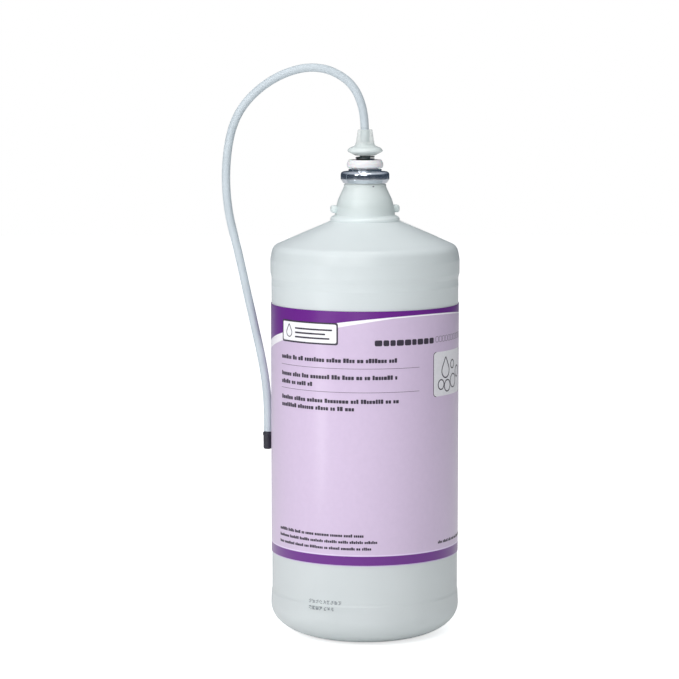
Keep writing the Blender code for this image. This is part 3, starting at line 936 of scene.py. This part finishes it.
def lot_code():
    """Two faint rows of dots left by an ink jet, in no pattern that reads."""
    chance = random.Random(PRINT_SEED + 1)
    marks = Marks(bottle_face)
    for low, count in LOT_ROWS:
        for letter in range(count):
            for column in range(3):
                for row in range(4):
                    if chance.random() < DOT_CHANCE:
                        u = LOT_LEFT + letter * LETTER + column * DOT_ACROSS
                        z = low + row * DOT_UP
                        marks.slab(u, u + DOT_WIDE, z, z + DOT_TALL)
    return marks.done("lot_code", faint_ink)


def neck_dot():
    """One small dark dot just under the cap."""
    marks = Marks(11.5)
    marks.slab(4.0, 5.0, 244.5, 245.2, edge=0.35)
    return marks.done("neck_dot", grey_ink)


lot, dot = lot_code(), neck_dot()
for piece in (label_print, label_fine_print, plate_border, plate_face, plate_mark,
              pictogram_ground, pictogram_lines, lot, dot):
    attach(piece, "pack")
print("marks on the label ride on the pack")

# %% [markdown]
# ## The crimped cap
# The ferrule is thin bright aluminium. It was pressed down over the pump's
# flange and its lower edge was rolled in under the bottle's lip by a ring of
# jaws, which leave shallow flats. The shape is turned, and the flats are a
# ripple in the radius that fades out upwards.


# %% Turning with a ripple
def ripple(piece, count, depth, low, high):
    """Presses a ring of shallow jaw marks into the turned piece between two heights, in millimetres."""
    for vertex in piece.data.vertices:
        z = vertex.co.z / MM
        if low <= z <= high:
            fade = sin(pi * (z - low) / (high - low))
            a = atan2(vertex.co.y, vertex.co.x)
            push = depth * MM * fade * (0.5 + 0.5 * cos(count * a)) ** 3
            r = Vector(vertex.co.xy).length
            scale = (r - push) / r
            vertex.co.x *= scale
            vertex.co.y *= scale


# %% Metal material
def bright_metal(name, colour, roughness, brush):
    material, nodes, links, shader = new_material(name)
    fine = noise(nodes, links, 400.0, 4.0, (1.0, 1.0, brush))
    stops = [(0.35, shade(colour, 0.82)), (0.65, colour)]
    surface(nodes, links, shader, fine, stops, (roughness * 0.7, roughness * 1.5))
    set_inputs(shader, Metallic=1.0)
    bump(nodes, links, shader, fine, 0.00003, 0.2)
    return material


# %% Ferrule
JAWS, JAW_DEPTH = 30, 0.05


def make_ferrule():
    """Corners are (radius, height, rounding) in millimetres."""
    outside = rounded([
        (7.0, 253.8, 0), (8.95, 253.8, 0.25), (8.95, 252.6, 0.25), (13.15, 252.4, 1.7), (13.15, 248.3, 0.6),
        (12.3, 247.1, 0.5), (11.75, 246.2, 0.15)])
    inside = [(11.4, 246.3), (11.85, 247.1), (12.8, 248.4), (12.8, 251.1), (11.9, 252.0), (8.6, 252.05),
              (8.6, 253.45), (7.0, 253.45)]
    cap = turn_profile("crimped_ferrule", outside + inside,
                       bright_metal("bright crimped metal", (0.70, 0.74, 0.80), 0.13, 8.0), sides=192)
    ripple(cap, JAWS, JAW_DEPTH, 246.3, 248.0)
    return cap


ferrule = make_ferrule()
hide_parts("ferrule")
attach(ferrule, "pack")
print("ferrule faces", len(ferrule.data.polygons))

# %% [markdown]
# ## The white ring, or spring cup
# A glossy white moulding that sits on the cap. Its top is open, and a well in
# the middle holds the return spring. A softly rounded rim tells that it was
# injection moulded.


# %% Moulded plastic
def moulded_plastic(name, colour, roughness=0.28, scatter=0.15):
    material, nodes, links, shader = new_material(name)
    cloud = noise(nodes, links, 90.0)
    stops = [(0.3, shade(colour, 0.93)), (0.7, colour)]
    surface(nodes, links, shader, cloud, stops, (roughness * 0.85, roughness * 1.2))
    set_inputs(shader, Subsurface_Weight=scatter, Subsurface_Scale=0.002, IOR=1.5)
    bump(nodes, links, shader, noise(nodes, links, 1200.0, 2.0), 0.00004, 0.15)
    return material


white_plastic = moulded_plastic("white moulded plastic", (0.80, 0.80, 0.82))


# %% Spring cup
def make_cup():
    profile = rounded([
        (8.3, 258.1, 0.3), (8.4, 258.8, 0.25), (8.75, 258.8, 0.5), (9.8, 257.0, 1.7), (9.8, 255.3, 1.0),
        (9.2, 254.4, 0.4), (6.5, 254.4, 0), (6.5, 248.2, 0),
        (3.4, 248.2, 0), (3.4, 249.0, 0), (5.7, 249.0, 0.3), (5.7, 255.6, 0.3), (8.3, 255.6, 0.5)])
    return turn_profile("white_spring_cup", profile, white_plastic, sides=160)


cup = make_cup()
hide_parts("spring_cup")
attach(cup, "pack")

# %% [markdown]
# ## The return spring
# A steel wire wound nine times round the stem. A spiral curve with a round
# section follows a rule, so Geometry Nodes make it: turns, radius, height and
# wire are named inputs. The spring rides on its own body.

# %% Spring tree
SPRING_LOW, SPRING_HIGH = foot_of("return_spring") / MM, top_of("return_spring") / MM
SPRING_WIRE, SPRING_TURNS = 0.9, 9.0
SPRING_MEAN = radius_of("return_spring") / MM - SPRING_WIRE / 2


def spring_tree():
    tree = bpy.data.node_groups.new("wound spring", "GeometryNodeTree")
    sockets = tree.interface
    sockets.new_socket("Geometry", in_out="OUTPUT", socket_type="NodeSocketGeometry")
    for name in ("Turns", "Mean Radius", "Rise", "Wire Radius"):
        sockets.new_socket(name, in_out="INPUT", socket_type="NodeSocketFloat")
    sockets.new_socket("Material", in_out="INPUT", socket_type="NodeSocketMaterial")
    nodes, links = tree.nodes, tree.links
    given, out = nodes.new("NodeGroupInput"), nodes.new("NodeGroupOutput")

    def feed(node, **names):
        for socket, name in names.items():
            links.new(given.outputs[name], node.inputs[socket.replace("_", " ")])

    spiral = nodes.new("GeometryNodeCurveSpiral")
    spiral.inputs["Resolution"].default_value = 48
    feed(spiral, Rotations="Turns", Start_Radius="Mean Radius", End_Radius="Mean Radius", Height="Rise")
    section = nodes.new("GeometryNodeCurvePrimitiveCircle")
    section.inputs["Resolution"].default_value = 16
    feed(section, Radius="Wire Radius")
    skin = nodes.new("GeometryNodeCurveToMesh")
    skin.inputs["Fill Caps"].default_value = True
    links.new(spiral.outputs["Curve"], skin.inputs["Curve"])
    links.new(section.outputs["Curve"], skin.inputs["Profile Curve"])
    smooth = nodes.new("GeometryNodeSetShadeSmooth")
    links.new(skin.outputs["Mesh"], smooth.inputs["Geometry"])
    real = nodes.new("GeometryNodeRealizeInstances")
    links.new(smooth.outputs["Geometry"], real.inputs["Geometry"])
    coat = nodes.new("GeometryNodeSetMaterial")
    links.new(real.outputs["Geometry"], coat.inputs["Geometry"])
    feed(coat, Material="Material")
    links.new(coat.outputs["Geometry"], out.inputs["Geometry"])
    return tree


def grown(name, tree, **values):
    """Runs a Geometry Nodes tree once and keeps its result as a plain mesh."""
    seed = bpy.data.objects.new(name + "_seed", bpy.data.meshes.new(name + "_seed"))
    scene.collection.objects.link(seed)
    modifier = seed.modifiers.new("grow", "NODES")
    modifier.node_group = tree
    for socket in tree.interface.items_tree:
        if socket.item_type == "SOCKET" and socket.in_out == "INPUT":
            modifier[socket.identifier] = values[socket.name.replace(" ", "_")]
    seed.data.materials.append(values["Material"])
    result = seed.evaluated_get(bpy.context.evaluated_depsgraph_get())
    mesh = bpy.data.meshes.new_from_object(result)
    mesh.name = name
    bpy.data.objects.remove(seed, do_unlink=True)
    piece = bpy.data.objects.new(name, mesh)
    scene.collection.objects.link(piece)
    return piece


# The wire is given a dark grey-green base, much darker than steel, so that the band between the saucer and
# the cup reads dark.
wire = bright_metal("drawn spring wire", (0.13, 0.15, 0.15), 0.4, 1.0)
spring = grown("wound_return_spring", spring_tree(), Turns=SPRING_TURNS,
               Mean_Radius=SPRING_MEAN * MM, Rise=(SPRING_HIGH - SPRING_LOW - SPRING_WIRE) * MM,
               Wire_Radius=SPRING_WIRE / 2 * MM, Material=wire)
spring.data.transform(Matrix.Translation((0.0, 0.0, (SPRING_LOW + SPRING_WIRE / 2) * MM)))
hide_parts("return_spring")
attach(spring, "spring")
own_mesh(spring)

# %% [markdown]
# ## The actuator
# One moulding in natural plastic: a saucer that the dispenser's lever pushes
# down, and a tapered socket that grips the tube. Light goes through it, so the
# tube shows inside the socket.


# %% Clear plastic
CLEARS_BETWEEN = (0.2655, 0.2690)     # heights in metres between which the socket turns clearer
OPACITY = (0.86, 0.42)                # of the saucer and of the socket


def cloudy_plastic():
    material, nodes, links, shader = new_material("cloudy moulded plastic")
    cloud = noise(nodes, links, 130.0)
    stops = [(0.3, (0.70, 0.77, 0.76)), (0.7, (0.76, 0.82, 0.81))]
    surface(nodes, links, shader, cloud, stops, (0.20, 0.30))
    set_inputs(shader, IOR=1.46)
    height = object_axes(nodes, links)["Z"]
    links.new(eased(nodes, links, height, CLEARS_BETWEEN, OPACITY), shader.inputs["Alpha"])
    fine = noise(nodes, links, 1000.0, 2.0)
    bump(nodes, links, shader, fine, 0.00002, 0.08)
    return material


# %% Actuator
def make_actuator():
    profile = rounded([
        (2.55, 275.1, 0.2), (3.9, 275.1, 0.4), (5.2, 266.9, 0.6), (6.2, 266.1, 0.8), (8.5, 265.2, 0.9),
        (9.6, 263.8, 0.4), (9.3, 263.1, 0.4), (5.4, 261.1, 0.4), (3.2, 261.1, 0), (3.2, 266.2, 0),
        (1.3, 266.2, 0), (1.3, 268.3, 0), (2.55, 268.3, 0)], bend=6)
    return turn_profile("moulded_actuator", profile, cloudy_plastic(), sides=160)


actuator = make_actuator()
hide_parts("actuator")
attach(actuator, "plunger")

# %% [markdown]
# ## The tip
# A dark rubber sleeve is pulled over the tube's end. It is nearly straight, with
# a rounded lip at the top and a small dimple in its end.


# %% Rubber tip
def rubber(name, colour):
    material, nodes, links, shader = new_material(name)
    fine = noise(nodes, links, 500.0, 4.0)
    stops = [(0.3, shade(colour, 0.7)), (0.7, colour)]
    surface(nodes, links, shader, fine, stops, (0.38, 0.55))
    bump(nodes, links, shader, fine, 0.00008, 0.3)
    return material


dark_rubber = rubber("dark rubber", (0.022, 0.022, 0.035))


def make_tip():
    end = ROUTE[-1]
    r = radius_of("tube_tip") / MM
    low, high = foot_of("tube_tip") / MM, top_of("tube_tip") / MM
    profile = rounded([
        (0.0, high, 0), (r - 0.35, high, 0.2), (r, high - 0.6, 0.4), (r, high - 1.6, 0.3),
        (r - 0.25, high - 2.0, 0.2), (r - 0.3, low + 0.1, 1.6), (0.45, low, 0.1), (0.0, low + 0.5, 0)],
        bend=5)
    return turn_profile("rubber_tip", profile, dark_rubber, sides=64, closed=False,
                        centre=(end[0] * MM, end[1] * MM))


tip = make_tip()
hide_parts("tube_tip")
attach(tip, "plunger")

# %% [markdown]
# ## Hidden pieces
# The pieces inside keep their shape from the frame, and only need their own
# surface. The milky bottle hides most of them.

# %% Finish for the carried pieces
def liquid_soap():
    material, nodes, links, shader = new_material("pearly soap")
    swirl = noise(nodes, links, 40.0, 5.0)
    stops = [(0.3, (0.74, 0.72, 0.76)), (0.7, (0.84, 0.82, 0.86))]
    surface(nodes, links, shader, swirl, stops, (0.12, 0.2))
    set_inputs(shader, Subsurface_Weight=0.2, Subsurface_Scale=0.004)
    return material


CARRIED = {
    "soap": liquid_soap(),
    "neck_gasket": rubber("grey gasket rubber", (0.25, 0.25, 0.27)),
    "pump_housing": white_plastic,
    "ball_cage": white_plastic,
    # The stem is coloured dark grey-green so that the band between the saucer and the cup reads dark.
    "stem": moulded_plastic("dark stem plastic", (0.12, 0.15, 0.15)),
    "piston": moulded_plastic("piston plastic", (0.70, 0.72, 0.76)),
    "piston_ring": dark_rubber,
    "stem_seal": dark_rubber,
    "dip_tube": moulded_plastic("dip tube plastic", (0.72, 0.78, 0.80), 0.3, 0.25),
    "inlet_ball": bright_metal("ball steel", (0.62, 0.64, 0.66), 0.08, 1.0),
}
for node, material in CARRIED.items():
    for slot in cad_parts[node].material_slots:
        slot.material = material
print("carried pieces", sorted(CARRIED))
